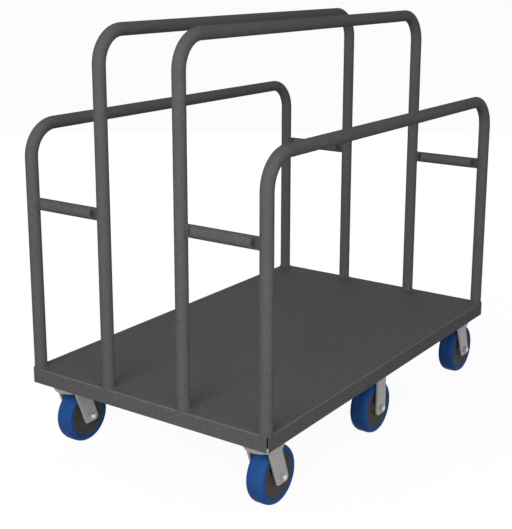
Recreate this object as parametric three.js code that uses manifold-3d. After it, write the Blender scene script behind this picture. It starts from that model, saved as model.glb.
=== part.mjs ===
// A six-wheel panel cart: a folded steel deck, four tube frames that hold sheets on edge,
// four swivel casters at the corners and two rigid casters in the middle of the long sides.
// Millimetres, +Z up, +X along the deck. The floor is z = 0 and the origin is below the middle
// of the whole cart, whose corner casters all trail towards +X.

import * as THREE from "three";
import { mergeVertices } from "three/addons/utils/BufferGeometryUtils.js";
import Module from "manifold-3d";

const wasm = await Module();
wasm.setup();

// Clearances
const gap = 0.3;
const overrun = 2;
const mergeTolerance = 0.0001;

// Deck pan
const deckLength = 1219.2;
const deckWidth = 762;
const deckDepth = 40.6;
const sheet = 2.7;
const deckBend = 3.5;
const cornerNotch = 5;
const cornerRelief = 1.5;

// Cross channels that carry the casters under the deck
const channelWidth = 127;
const channelHeight = 35;
const channelWall = 4.8;
const channelBend = 6;

// Tube frames
const tubeDiameter = 33.4;
const tubeWall = 3.4;
const frameBend = 82;
const lowFrameRise = 666;
const tallFrameRise = 914.4;

// Brace tubes between a low frame and a tall frame
const braceDiameter = 31.75;
const braceRiseShare = 0.6752;
const braceTabThickness = 8;
const braceTabLength = 15;
const bracePressLength = 8;

// Wheel: a hard core with a moulded tread
const wheelDiameter = 152.4;
const treadWidth = 50.8;
const treadThickness = 18.5;
const treadLand = 18;
const treadShoulder = 10;
const coreRimWidth = 47;
const coreRimThickness = 7;
const coreWebWidth = 37;
const coreBossDiameter = 42;
const coreBossWidth = 55;

// Axle
const axleDiameter = 12.7;
const sleeveWall = 3.2;
const axleHeadWidth = 22;
const axleHeadHeight = 6;
const axleNutHeight = 5.5;
const axleEndProud = 2.5;

// Caster shared sizes
const plateLength = 114.3;
const plateWidth = 101.6;
const plateThickness = 6.4;
const plateCorner = 9;
const slotSpacingLong = 85.7;
const slotSpacingShort = 73;
const slotLength = 19;
const slotWidth = 11;
const legDepth = 7;
const legGauge = 4;
const legSideClearance = 4;
const legDrop = 17.5;
const legCorner = 9;
const wheelTopClearance = 6;

// Swivel caster
const casterTrail = 32.5;
const casterEndInset = 79.2;
const casterSideInset = 67.6;
const crownRadius = 48;
const crownFlare = 4;
const crownGauge = 5;
const crownFlareHeight = 12;
const crownRimGap = 2;
const forkTopLead = 25;
const forkTopTail = 31;
const forkEndLead = 26.5;
const forkEndTail = 23.5;
const forkLeadCorner = 4;
const forkNeckDrop = 12;
const raceInnerRadius = 31;
const raceOuterRadius = 42;
const raceBallHeight = 6;
const raceBossHeight = 14.75;
const kingpinDiameter = 16;
const kingpinHeadDiameter = 28;
const kingpinHeadHeight = 4;
const kingpinFootDiameter = 26;
const kingpinFootHeight = 6.5;

// Rigid caster
const bracketLegHalfWidth = 23.5;
const bracketFlareHalfWidth = 38;
const bracketFlareHeight = 24;

// Facet counts
const tubeSides = 12;
const tubeBoreSides = 8;
const bendSteps = 5;
const wheelSides = 24;
const cupSides = 16;
const smallSides = 12;
const hexSides = 6;
const arcSteps = 2;

// Heights and places that follow from the sizes above
const wheelRadius = wheelDiameter / 2;
const wheelFacetShare = Math.cos(Math.PI / wheelSides);
const axleZ = wheelRadius * wheelFacetShare;
const crownBottomZ = axleZ + wheelRadius + wheelTopClearance;
const raceBottomZ = crownBottomZ + crownGauge + gap;
const bossBottomZ = raceBottomZ + raceBallHeight + gap;
const plateBottomZ = bossBottomZ + raceBossHeight;
const casterHeight = plateBottomZ + plateThickness;
const channelBottomZ = casterHeight + gap;
const channelTopZ = channelBottomZ + channelHeight;
const deckUndersideZ = channelTopZ + gap;
const deckTopZ = deckUndersideZ + sheet;
const deckBottomZ = deckTopZ - deckDepth;
const swivelX = deckLength / 2 - casterEndInset;
const casterY = deckWidth / 2 - casterSideInset;
const tailReach = swivelX + casterTrail + wheelRadius * wheelFacetShare;
const originShiftX = -Math.max(0, tailReach - deckLength / 2) / 2;
const tubeRadius = tubeDiameter / 2;
const legX = deckLength / 2 - tubeRadius;
const lowFrameY = deckWidth / 2 - tubeRadius;
const tallFrameY = lowFrameY / 3;
const braceRise = lowFrameRise * braceRiseShare;
const forkInnerY = treadWidth / 2 + legSideClearance;
const forkOuterY = forkInnerY + legDepth;
const crownRimZ = plateBottomZ - crownRimGap;

// Finishes
function finish(color, roughness, metalness) {
  return new THREE.MeshStandardMaterial({ color, roughness, metalness });
}
const powderCoat = finish(0x4b4b4b, 0.6, 0.3);
const zincPlate = finish(0xa9a8a5, 0.4, 0.9);
const boltSteel = finish(0xc4c2bd, 0.35, 1.0);
const blueTread = finish(0x1f4a8c, 0.45, 0.0);
const coreBrown = finish(0x3a3733, 0.6, 0.1);

// A closed geometry becomes a solid once its shared corners are merged
function solid(geometry) {
  const bare = geometry.clone();
  bare.deleteAttribute("normal");
  bare.deleteAttribute("uv");
  const merged = mergeVertices(bare, mergeTolerance);
  const mesh = new wasm.Mesh({
    numProp: 3,
    vertProperties: new Float32Array(merged.attributes.position.array),
    triVerts: new Uint32Array(merged.index.array),
  });
  mesh.merge();
  return new wasm.Manifold(mesh);
}

function geometryOf(body) {
  const mesh = body.getMesh();
  const geometry = new THREE.BufferGeometry();
  geometry.setAttribute("position", new THREE.BufferAttribute(mesh.vertProperties, mesh.numProp));
  geometry.setIndex(new THREE.BufferAttribute(mesh.triVerts, 1));
  geometry.computeVertexNormals();
  return geometry;
}

function piece(name, body, material) {
  const mesh = new THREE.Mesh(geometryOf(body), material);
  mesh.name = name;
  return mesh;
}

// The radius that a faceted bore needs to clear a round of the given radius
function boreRadius(radius, sides) {
  return (radius + gap) / Math.cos(Math.PI / sides);
}

function outline(points) {
  return new THREE.Shape(points.map(([x, y]) => new THREE.Vector2(x, y)));
}

function circle(radius, sides, x = 0, y = 0) {
  const points = [];
  for (let i = 0; i < sides; i++) {
    const angle = (2 * Math.PI * i) / sides;
    points.push([x + radius * Math.cos(angle), y + radius * Math.sin(angle)]);
  }
  return outline(points);
}

// Points turned about a centre, with one radius in x and one in y; an arc has both the same
function ellipse(x, y, radiusX, radiusY, startAngle, endAngle, steps = arcSteps) {
  const points = [];
  for (let i = 0; i <= steps; i++) {
    const angle = startAngle + ((endAngle - startAngle) * i) / steps;
    points.push([x + radiusX * Math.cos(angle), y + radiusY * Math.sin(angle)]);
  }
  return points;
}

function arc(x, y, radius, startAngle, endAngle, steps = arcSteps) {
  return ellipse(x, y, radius, radius, startAngle, endAngle, steps);
}

// An outline in x and y carried up along z
function alongZ(shape, low, high) {
  const geometry = new THREE.ExtrudeGeometry(shape, { depth: high - low, bevelEnabled: false });
  return solid(geometry.translate(0, 0, low));
}

// An outline in x and z carried along y
function alongY(shape, low, high) {
  const geometry = new THREE.ExtrudeGeometry(shape, { depth: high - low, bevelEnabled: false });
  return solid(geometry.rotateX(Math.PI / 2).translate(0, high, 0));
}

// An outline in y and z carried along x
function alongX(shape, low, high) {
  const geometry = new THREE.ExtrudeGeometry(shape, { depth: high - low, bevelEnabled: false });
  return solid(geometry.rotateX(Math.PI / 2).rotateZ(Math.PI / 2).translate(low, 0, 0));
}

// A profile of [radius, height] turned about z, or about y for wheels and axle pieces.
// Half a step of turn puts a flat facet at the bottom.
function turned(profile, sides) {
  const points = profile.map(([radius, height]) => new THREE.Vector2(radius, height));
  points.push(points[0].clone());
  return new THREE.LatheGeometry(points, sides, Math.PI / sides).rotateX(Math.PI / 2);
}

function turnedZ(profile, sides) {
  return solid(turned(profile, sides));
}

function turnedY(profile, sides) {
  return solid(turned(profile, sides).rotateX(Math.PI / 2));
}

// A profile that is the same on both sides of the wheel's middle plane
function mirrored(half) {
  const other = half.map(([radius, y]) => [radius, -y]);
  return other.concat([...half].reverse());
}

// Deck pan: one sheet with its four edges folded down and its corners left open
function foldedSection(halfSpan, bottom, top, bend) {
  return outline([
    [-halfSpan, bottom],
    [halfSpan, bottom],
    ...arc(halfSpan - bend, top - bend, bend, 0, Math.PI / 2),
    ...arc(-halfSpan + bend, top - bend, bend, Math.PI / 2, Math.PI),
  ]);
}

function deckBlock(inset, bottom) {
  const halfLength = deckLength / 2 - inset;
  const halfWidth = deckWidth / 2 - inset;
  const top = deckTopZ - inset;
  const bend = deckBend - inset;
  const lengthwise = alongX(foldedSection(halfWidth, bottom, top, bend), -halfLength, halfLength);
  const crosswise = alongY(foldedSection(halfLength, bottom, top, bend), -halfWidth, halfWidth);
  return lengthwise.intersect(crosswise);
}

function deckPan() {
  let pan = deckBlock(0, deckBottomZ).subtract(deckBlock(sheet, deckBottomZ - overrun));
  const slitTopZ = deckTopZ - deckBend;
  const slit = alongZ(outline([
    [-overrun, -overrun],
    [cornerNotch, -overrun],
    [cornerNotch, cornerNotch],
    [-overrun, cornerNotch],
  ]), deckBottomZ - overrun, slitTopZ);
  const middle = cornerNotch / 2;
  const relief = alongZ(circle(middle + cornerRelief, smallSides, middle, middle),
    slitTopZ - cornerNotch, slitTopZ + cornerRelief);
  const corner = slit.add(relief);
  for (const sideX of [-1, 1]) {
    for (const sideY of [-1, 1]) {
      pan = pan.subtract(corner.scale([-sideX, -sideY, 1])
        .translate([(sideX * deckLength) / 2, (sideY * deckWidth) / 2, 0]));
    }
  }
  return pan;
}

// A channel open upwards, welded between the side flanges
function crossChannel() {
  const half = channelWidth / 2;
  const inner = half - channelWall;
  const innerBend = channelBend - channelWall;
  const section = outline([
    ...arc(-half + channelBend, channelBottomZ + channelBend, channelBend, Math.PI, 1.5 * Math.PI),
    ...arc(half - channelBend, channelBottomZ + channelBend, channelBend, 1.5 * Math.PI, 2 * Math.PI),
    [half, channelTopZ],
    [inner, channelTopZ],
    [inner, channelBottomZ + channelWall + innerBend],
    [inner - innerBend, channelBottomZ + channelWall],
    [-inner + innerBend, channelBottomZ + channelWall],
    [-inner, channelBottomZ + channelWall + innerBend],
    [-inner, channelTopZ],
    [-half, channelTopZ],
  ]);
  const reach = deckWidth / 2 - sheet - gap;
  return alongY(section, -reach, reach);
}

// The centre line of an inverted U: two legs, two bends and a rail.
// Its stations are the ends of the straight runs and the steps of each bend.
class FramePath extends THREE.Curve {
  constructor(rise) {
    super();
    const railZ = deckTopZ + rise - tubeRadius;
    const bendX = legX - frameBend;
    const bendZ = railZ - frameBend;
    this.stations = [{ x: legX, z: deckTopZ + gap, angle: 0 }];
    for (let i = 0; i <= bendSteps; i++) {
      const angle = (Math.PI * i) / bendSteps / 2;
      this.stations.push({
        x: bendX + frameBend * Math.cos(angle),
        z: bendZ + frameBend * Math.sin(angle),
        angle,
      });
    }
    const leadingHalf = [...this.stations];
    for (const { x, z, angle } of leadingHalf.reverse()) {
      this.stations.push({ x: -x, z, angle: Math.PI - angle });
    }
  }

  get steps() {
    return this.stations.length - 1;
  }

  stationAt(share) {
    return this.stations[Math.round(share * this.steps)];
  }

  getPoint(share, target = new THREE.Vector3()) {
    const { x, z } = this.stationAt(share);
    return target.set(x, 0, z);
  }

  getPointAt(share, target) {
    return this.getPoint(share, target);
  }

  getTangentAt(share, target = new THREE.Vector3()) {
    const { angle } = this.stationAt(share);
    return target.set(-Math.sin(angle), 0, Math.cos(angle));
  }
}

function tubeFrame(rise) {
  const path = new FramePath(rise);
  const section = circle(tubeRadius, tubeSides);
  section.holes.push(circle(tubeRadius - tubeWall, tubeBoreSides));
  const options = { steps: path.steps, extrudePath: path, bevelEnabled: false };
  return solid(new THREE.ExtrudeGeometry(section, options));
}

// A round tube whose ends are pressed flat and coped round the uprights
function brace() {
  const half = (lowFrameY - tallFrameY) / 2;
  const radius = braceDiameter / 2;
  const tab = braceTabThickness / 2;
  const end = half - tubeRadius - gap;
  const tabStart = end - braceTabLength;
  const pressStart = tabStart - bracePressLength;
  const rod = solid(new THREE.CylinderGeometry(radius, radius, 2 * half, tubeSides));
  const plan = alongZ(outline([
    [-tab, -half], [tab, -half], [tab, -tabStart], [radius, -pressStart],
    [radius, pressStart], [tab, tabStart], [tab, half], [-tab, half],
    [-tab, tabStart], [-radius, pressStart], [-radius, -pressStart], [-tab, -tabStart],
  ]), -radius - overrun, radius + overrun);
  let tube = rod.intersect(plan);
  const cope = alongZ(circle(boreRadius(tubeRadius, tubeSides), tubeSides), -braceDiameter, braceDiameter);
  for (const side of [-1, 1]) {
    tube = tube.subtract(cope.translate([0, side * half, 0]));
  }
  return tube;
}

// Wheel core and tread, turned about the axle
const coreRadius = wheelRadius - treadThickness - gap;
const sleeveRadius = axleDiameter / 2 + gap + sleeveWall;

function treadBody() {
  const bore = wheelRadius - treadThickness;
  const fall = (treadWidth - treadLand) / 2;
  return turnedY(mirrored([
    [bore, treadWidth / 2],
    ...ellipse(wheelRadius - treadShoulder, treadLand / 2, treadShoulder, fall, Math.PI / 2, 0),
  ]), wheelSides);
}

function coreBody() {
  const rim = coreRimWidth / 2;
  const rimInner = coreRadius - coreRimThickness;
  const web = coreWebWidth / 2;
  const boss = coreBossDiameter / 2;
  const bossHalf = coreBossWidth / 2;
  const bore = boreRadius(sleeveRadius, wheelSides);
  return turnedY(mirrored([
    [bore, bossHalf],
    [boss, bossHalf],
    [boss, web],
    [rimInner, rim],
    [coreRadius, rim],
  ]), wheelSides);
}

// Axle: a sleeve between the fork legs, a bolt through it and a nut
function sleeveBody() {
  const half = forkInnerY - gap;
  const bore = boreRadius(axleDiameter / 2, smallSides);
  return turnedY([[bore, -half], [sleeveRadius, -half], [sleeveRadius, half], [bore, half]], smallSides);
}

function axleBoltBody() {
  const headInnerY = forkOuterY + gap;
  const endY = headInnerY + axleNutHeight + axleEndProud;
  const length = headInnerY + endY;
  const shank = new THREE.CylinderGeometry(axleDiameter / 2, axleDiameter / 2, length, smallSides);
  const head = new THREE.CylinderGeometry(axleHeadWidth / 2, axleHeadWidth / 2, axleHeadHeight, hexSides);
  shank.translate(0, (headInnerY - endY) / 2, 0);
  head.translate(0, headInnerY + axleHeadHeight / 2, 0);
  return solid(shank).add(solid(head));
}

function axleNutBody() {
  const low = -(forkOuterY + gap + axleNutHeight);
  const high = -(forkOuterY + gap);
  const nut = circle(axleHeadWidth / 2, hexSides);
  nut.holes.push(circle(boreRadius(axleDiameter / 2, smallSides), smallSides));
  return alongY(nut, low, high);
}

// A fork leg: a pressed plate with its rim turned in towards the wheel
function pressedLeg(points, side) {
  const outer = side * forkOuterY;
  const inner = side * forkInnerY;
  const low = Math.min(outer, inner);
  const high = Math.max(outer, inner);
  const middle = points.reduce((sum, point) => sum.add(new THREE.Vector2(...point)), new THREE.Vector2())
    .divideScalar(points.length);
  const inset = (margin) => points.map((point) => {
    const corner = new THREE.Vector2(...point).sub(middle);
    return corner.setLength(corner.length() - margin).add(middle).toArray();
  });
  const plate = alongY(outline(points), low, high);
  const floorY = side * (forkOuterY - legGauge);
  const pocket = alongY(outline(inset(legGauge * Math.SQRT2)),
    Math.min(floorY, inner - side * overrun), Math.max(floorY, inner - side * overrun));
  return plate.subtract(pocket);
}

function axleHole(x, z) {
  const reach = forkOuterY + overrun;
  const radius = boreRadius(axleDiameter / 2, smallSides);
  return alongY(circle(radius, smallSides, x, z), -reach, reach);
}

// Swivel fork: a dished raceway cup with two raked legs, all one pressing.
// The cup's middle is raised to make room for the kingpin's foot.
const kingpinRadius = kingpinDiameter / 2;
const kingpinFootRadius = kingpinFootDiameter / 2;
const footSeatZ = crownBottomZ + kingpinFootHeight + gap;

function raceCup() {
  const floorZ = crownBottomZ + crownGauge;
  const bore = boreRadius(kingpinRadius, smallSides);
  const raised = kingpinFootRadius + crownGauge;
  return turnedZ([
    [bore, footSeatZ],
    [raised, footSeatZ],
    [raised + crownGauge / 2, crownBottomZ],
    [crownRadius, crownBottomZ],
    [crownRadius + crownFlare, crownBottomZ + crownFlareHeight],
    [crownRadius + crownFlare, crownRimZ],
    [crownRadius + crownFlare - crownGauge, crownRimZ],
    [crownRadius + crownFlare - crownGauge, crownBottomZ + crownFlareHeight],
    [crownRadius - crownGauge, floorZ],
    [raised + crownGauge, floorZ],
    [raised + crownGauge / 2, footSeatZ + crownGauge],
    [bore, footSeatZ + crownGauge],
  ], cupSides);
}

function swivelFork() {
  const footZ = axleZ - legDrop;
  const topZ = crownBottomZ + crownGauge / 2;
  const neckZ = crownBottomZ - forkNeckDrop;
  const leadRake = (casterTrail - forkEndLead + forkTopLead) / (crownBottomZ - axleZ);
  const tailRake = (casterTrail + forkEndTail - forkTopTail) / (neckZ - axleZ);
  const tipX = casterTrail - forkEndLead + legDrop * leadRake;
  const tailX = casterTrail + forkEndTail + (legDrop - legCorner) * tailRake;
  const leg = [
    [-forkTopLead, topZ],
    [-forkTopLead, crownBottomZ],
    [tipX - forkLeadCorner * leadRake, footZ + forkLeadCorner],
    [tipX + forkLeadCorner, footZ],
    [tailX - legCorner, footZ],
    [tailX, footZ + legCorner],
    [forkTopTail, neckZ],
    [forkTopTail, topZ],
  ];
  return raceCup()
    .add(pressedLeg(leg, 1))
    .add(pressedLeg(leg, -1))
    .subtract(axleHole(casterTrail, axleZ));
}

// Ball race ring between the cup and the top plate's boss
function ballRace() {
  const low = raceBottomZ;
  const high = low + raceBallHeight;
  const middle = (raceInnerRadius + raceOuterRadius) / 2;
  const half = raceBallHeight / 2;
  return turnedZ([
    [middle - half, low], [middle + half, low], [middle + half, high], [middle - half, high],
  ], cupSides);
}

// Top plate with four slots, a countersink for the kingpin's head and the upper race below
function slotShape(x, y, along) {
  const straight = (slotLength - slotWidth) / 2;
  const round = slotWidth / 2;
  const points = [
    ...arc(straight, 0, round, -Math.PI / 2, Math.PI / 2),
    ...arc(-straight, 0, round, Math.PI / 2, 1.5 * Math.PI),
  ];
  return outline(points.map(([u, v]) => [x + u * Math.cos(along) - v * Math.sin(along),
    y + u * Math.sin(along) + v * Math.cos(along)]));
}

function slottedPlate() {
  const halfX = plateLength / 2;
  const halfY = plateWidth / 2;
  let plate = alongZ(outline([
    ...arc(halfX - plateCorner, halfY - plateCorner, plateCorner, 0, Math.PI / 2),
    ...arc(-halfX + plateCorner, halfY - plateCorner, plateCorner, Math.PI / 2, Math.PI),
    ...arc(-halfX + plateCorner, -halfY + plateCorner, plateCorner, Math.PI, 1.5 * Math.PI),
    ...arc(halfX - plateCorner, -halfY + plateCorner, plateCorner, 1.5 * Math.PI, 2 * Math.PI),
  ]), plateBottomZ, casterHeight);
  for (const sideX of [-1, 1]) {
    for (const sideY of [-1, 1]) {
      const along = (sideX * sideY * Math.PI) / 4;
      const slot = slotShape((sideX * slotSpacingLong) / 2, (sideY * slotSpacingShort) / 2, along);
      plate = plate.subtract(alongZ(slot, plateBottomZ - overrun, casterHeight + overrun));
    }
  }
  return plate;
}

function topPlate() {
  const boss = turnedZ([
    [raceInnerRadius, bossBottomZ],
    [raceOuterRadius, bossBottomZ],
    [raceOuterRadius, plateBottomZ + overrun],
    [raceInnerRadius, plateBottomZ + overrun],
  ], cupSides);
  const bore = circle(boreRadius(kingpinRadius, smallSides), smallSides);
  const recess = circle(boreRadius(kingpinHeadDiameter / 2, smallSides), smallSides);
  return slottedPlate()
    .add(boss)
    .subtract(alongZ(bore, plateBottomZ - overrun, casterHeight + overrun))
    .subtract(alongZ(recess, casterHeight - kingpinHeadHeight - gap, casterHeight + overrun));
}

// Kingpin: its head lies in the plate and its foot is peened over below the cup
function kingpin() {
  const headTop = casterHeight;
  const headLow = headTop - kingpinHeadHeight;
  const footTop = footSeatZ - gap;
  const footLow = footTop - kingpinFootHeight;
  return turnedZ([
    [0, footLow],
    [kingpinFootRadius, footLow],
    [kingpinFootRadius, footTop],
    [kingpinRadius, footTop],
    [kingpinRadius, headLow],
    [kingpinHeadDiameter / 2, headLow],
    [kingpinHeadDiameter / 2, headTop],
    [0, headTop],
  ], smallSides);
}

// Rigid bracket: a plate with two upright legs that flare into it
function rigidBracket() {
  const footZ = axleZ - legDrop;
  const flareZ = plateBottomZ - bracketFlareHeight;
  const half = bracketLegHalfWidth;
  const leg = [
    [-bracketFlareHalfWidth, plateBottomZ + gap],
    [-half, flareZ],
    [-half, footZ + legCorner],
    [-half + legCorner, footZ],
    [half - legCorner, footZ],
    [half, footZ + legCorner],
    [half, flareZ],
    [bracketFlareHalfWidth, plateBottomZ + gap],
  ];
  return slottedPlate()
    .add(pressedLeg(leg, 1))
    .add(pressedLeg(leg, -1))
    .subtract(axleHole(0, axleZ));
}

// Wheel and axle pieces, made once and placed for every caster
const tread = treadBody();
const core = coreBody();
const sleeve = sleeveBody();
const axleBolt = axleBoltBody();
const axleNut = axleNutBody();

function addWheel(group, label, x) {
  const wheel = new THREE.Group();
  wheel.position.set(x, 0, axleZ);
  wheel.add(
    piece(`axle_bolt_${label}`, axleBolt, boltSteel),
    piece(`axle_nut_${label}`, axleNut, boltSteel),
    piece(`axle_sleeve_${label}`, sleeve, boltSteel),
    piece(`wheel_core_${label}`, core, coreBrown),
    piece(`wheel_tread_${label}`, tread, blueTread),
  );
  group.add(wheel);
}

// The cart
const cart = new THREE.Group();
cart.position.x = originShiftX;

cart.add(piece("deck_pan", deckPan(), powderCoat));

const ends = [["near", -1], ["far", 1]];
const sides = [["left", 1], ["right", -1]];

const channel = crossChannel();
for (const [place, x] of [["near", -swivelX], ["middle", 0], ["far", swivelX]]) {
  const mesh = piece(`cross_channel_${place}`, channel, powderCoat);
  mesh.position.x = x;
  cart.add(mesh);
}

const lowFrame = tubeFrame(lowFrameRise);
const tallFrame = tubeFrame(tallFrameRise);
const braceTube = brace();
for (const [side, sign] of sides) {
  const outer = piece(`outer_frame_${side}`, lowFrame, powderCoat);
  outer.position.y = sign * lowFrameY;
  const inner = piece(`inner_frame_${side}`, tallFrame, powderCoat);
  inner.position.y = sign * tallFrameY;
  cart.add(outer, inner);
  for (const [end, direction] of ends) {
    const mesh = piece(`brace_${end}_${side}`, braceTube, powderCoat);
    mesh.position.set(direction * legX, (sign * (lowFrameY + tallFrameY)) / 2, deckTopZ + braceRise);
    cart.add(mesh);
  }
}

const plate = topPlate();
const race = ballRace();
const pin = kingpin();
const fork = swivelFork();
for (const [end, direction] of ends) {
  for (const [side, sign] of sides) {
    const label = `${end}_${side}`;
    const caster = new THREE.Group();
    caster.position.set(direction * swivelX, sign * casterY, 0);
    caster.add(
      piece(`top_plate_${label}`, plate, zincPlate),
      piece(`ball_race_${label}`, race, boltSteel),
      piece(`kingpin_${label}`, pin, boltSteel),
      piece(`swivel_fork_${label}`, fork, zincPlate),
    );
    addWheel(caster, label, casterTrail);
    cart.add(caster);
  }
}

const bracket = rigidBracket();
for (const [side, sign] of sides) {
  const label = `middle_${side}`;
  const caster = new THREE.Group();
  caster.position.set(0, sign * casterY, 0);
  caster.add(piece(`rigid_bracket_${label}`, bracket, zincPlate));
  addWheel(caster, label, 0);
  cart.add(caster);
}

export default cart;
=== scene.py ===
"""The looks of a six-wheel panel cart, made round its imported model."""

import math

import bmesh
import bpy
import numpy as np
from bpy.props import FloatProperty, FloatVectorProperty, IntProperty, PointerProperty
from mathutils import Matrix, Vector


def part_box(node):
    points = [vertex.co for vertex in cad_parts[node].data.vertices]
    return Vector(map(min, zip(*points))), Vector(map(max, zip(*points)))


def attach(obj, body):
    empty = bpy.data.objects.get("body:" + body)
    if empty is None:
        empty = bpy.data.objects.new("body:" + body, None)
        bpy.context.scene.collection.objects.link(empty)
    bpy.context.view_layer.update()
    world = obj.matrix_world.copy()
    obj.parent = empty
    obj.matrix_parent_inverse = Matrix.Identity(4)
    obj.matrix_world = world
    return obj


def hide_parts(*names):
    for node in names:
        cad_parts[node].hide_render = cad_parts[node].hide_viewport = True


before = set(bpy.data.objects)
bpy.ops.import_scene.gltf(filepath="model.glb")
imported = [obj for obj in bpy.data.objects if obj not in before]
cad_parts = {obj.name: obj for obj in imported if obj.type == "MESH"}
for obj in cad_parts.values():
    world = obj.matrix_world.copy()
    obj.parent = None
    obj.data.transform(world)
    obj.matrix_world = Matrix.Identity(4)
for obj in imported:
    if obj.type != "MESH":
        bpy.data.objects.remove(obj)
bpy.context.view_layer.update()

bl_info = {
    "name": "Panel Cart",
    "version": (1, 0, 0),
    "blender": (4, 5, 0),
    "location": "View3D > Sidebar > Panel Cart",
    "description": "Builds the finished surfaces of a panel cart round its packed model",
    "category": "Object",
}

MM = 0.001
SIDES = ("left", "right")
CORNERS = tuple(f"{end}_{side}" for end in ("near", "far") for side in SIDES)
MIDDLES = tuple(f"middle_{side}" for side in SIDES)

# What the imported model's sizes leave open, and more than one piece uses
TUBE_SIDES = 56
SEAT_GAP = 0.3 * MM
WHEEL_GAP = 0.2 * MM
PLATE_GAUGE = 6.4 * MM
PLATE_EDGE = 0.6 * MM
NUT_HALF = 9.5 * MM
NUT_BORE_SHARE = 0.98

# Each lamp's edge, its place, and whether gloss mirrors it
LAMPS = {"key": (2.2, (-3.4, -0.6, 1.9), True), "fill": (2.2, (-2.3, -3.9, 1.2), True),
         "back": (2.5, (4.12, 2.78, 1.4), False), "side": (2.2, (-0.6, 4.5, 1.3), False)}
LAMP_TARGET = (0.0, 0.0, 0.5)
WHITE = (1.0, 1.0, 1.0, 1.0)


# Sizes and colours that a user may change

def length(name, millimetres, description):
    """A length property, given in millimetres and held in metres."""
    return FloatProperty(name=name, description=description, default=millimetres * MM,
                         min=0.0, subtype="DISTANCE", unit="LENGTH")


def colour(name, rgb, description):
    """A colour property in linear red, green and blue."""
    return FloatVectorProperty(name=name, description=description, default=rgb,
                               min=0.0, max=1.0, size=3, subtype="COLOR")


def number(name, value, description, **settings):
    """A plain number property."""
    return FloatProperty(name=name, description=description, default=value, **settings)


class CartSizes(bpy.types.PropertyGroup):
    """Sizes of the cart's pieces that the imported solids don't give directly."""
    sheet: length("Deck sheet", 2.7, "Thickness of the deck's sheet steel")
    deck_bend: length("Deck bend", 3.5, "Outer radius of the deck's folded edges")
    corner_notch: length("Corner notch", 5.0, "Width of the opening where two folded edges meet")
    channel_wall: length("Channel wall", 4.8, "Thickness of the cross channels")
    channel_bend: length("Channel bend", 6.0, "Outer radius of the cross channels' corners")
    frame_bend: length("Frame bend", 82.0, "Centre line radius of the tube frames' bends")
    tab: length("Brace tab", 8.0, "Thickness of a brace's pressed end")
    tab_length: length("Brace tab length", 15.0, "Length of a brace's flat end")
    weld: length("Weld", 2.6, "Leg of the weld beads at the tube feet")
    press_length: length("Brace press length", 8.0, "Length of a brace's run from round to flat")
    tread_land: length("Tread land", 18.0, "Width of the tread's flat middle on the floor")
    tread_shoulder: length("Tread shoulder", 10.0, "How far the tread's rounded shoulders fall")
    core_radius: length("Core radius", 57.4, "Radius of the wheel's core inside the tread")
    core_rim: length("Core rim", 7.0, "Width of the core's raised rim")
    core_half: length("Core half width", 23.5, "Half of the core's width at its rim")
    web_half: length("Core web half width", 18.5, "Half of the core's width beside its boss")
    boss_radius: length("Boss radius", 21.0, "Radius of the core's central boss")
    sleeve_radius: length("Sleeve radius", 9.9, "Radius of the axle's sleeve")
    leg_inner: length("Leg inside", 29.4, "Distance from the wheel's middle to a fork leg's rim")
    leg_outer: length("Leg outside", 36.4, "Distance from the wheel's middle to a fork leg's face")
    leg_gauge: length("Leg gauge", 4.0, "Thickness of a fork leg")
    leg_drop: length("Leg drop", 17.5, "Depth of a fork leg below the axle")
    leg_edge: length("Leg edge", 2.2, "Radius of a fork leg's pressed edge")
    crown_radius: length("Crown radius", 48.0, "Radius of the raceway cup's bottom")
    crown_flare: length("Crown flare", 4.0, "How much wider the raceway cup is at its rim")
    crown_gauge: length("Crown gauge", 5.0, "Thickness of the raceway cup")
    crown_rise: length("Crown rise", 12.0, "Height of the raceway cup's flared part")
    crown_over_wheel: length("Crown over wheel", 6.65, "Clearance from the wheel's top to the cup")
    plate_corner: length("Plate corner", 9.0, "Corner radius of the caster plates")
    bolt: length("Plate bolt", 9.5, "Diameter of the caster plate bolts")
    axle: length("Axle bolt", 12.7, "Diameter of the axle bolts")


class CartFinish(bpy.types.PropertyGroup):
    """Colours of the cart's finishes."""
    coat: colour("Powder coat", (0.094, 0.094, 0.094), "Dark grey powder coat")
    zinc: colour("Zinc plate", (0.362, 0.357, 0.348), "Zinc plated pressings")
    steel: colour("Bolt steel", (0.6, 0.59, 0.56), "Bright plated bolts and nuts")
    tread: colour("Tread", (0.018, 0.072, 0.235), "Blue moulded tread")
    core: colour("Core", (0.07, 0.064, 0.058), "Dark moulded wheel core")
    coat_roughness: number("Coat roughness", 0.8, "Roughness of the powder coat", min=0.0, max=1.0)


class CartStage(bpy.types.PropertyGroup):
    """Camera and lights."""
    eye: FloatVectorProperty(name="Camera place", description="Where the camera stands",
                             default=(-2.494, -1.6502, 1.2904), size=3, subtype="TRANSLATION",
                             unit="LENGTH")
    yaw: number("Camera yaw", 0.5936, "Turn of the view from +X towards +Y", subtype="ANGLE")
    pitch: number("Camera pitch", 0.2308, "How far the view looks down", subtype="ANGLE")
    roll: number("Camera roll", 0.0053, "Roll of the camera", subtype="ANGLE")
    lens: number("Lens", 72.81, "Focal length in millimetres")
    shift_x: number("Shift across", -0.030, "Shift of the picture, as a share of its longer side")
    shift_y: number("Shift up", -0.100, "Shift of the picture, as a share of its longer side")
    key: number("Key light", 80.0, "Power of the key light in watts")
    fill: number("Fill light", 74.0, "Power of the fill light in watts")
    back: number("Back light", 115.0, "Power of the light behind the cart in watts")
    side: number("Side light", 45.0, "Power of the light beside the cart in watts")
    ambient: number("Ambient", 0.38, "Strength of the even light from all round")
    rings: IntProperty(name="Ring sides", description="Sides of a turned surface", default=72,
                       min=12)


def sizes():
    return bpy.context.scene.cart_sizes


def finishes():
    return bpy.context.scene.cart_finish


def stage():
    return bpy.context.scene.cart_stage


# Meshes from arrays

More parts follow.
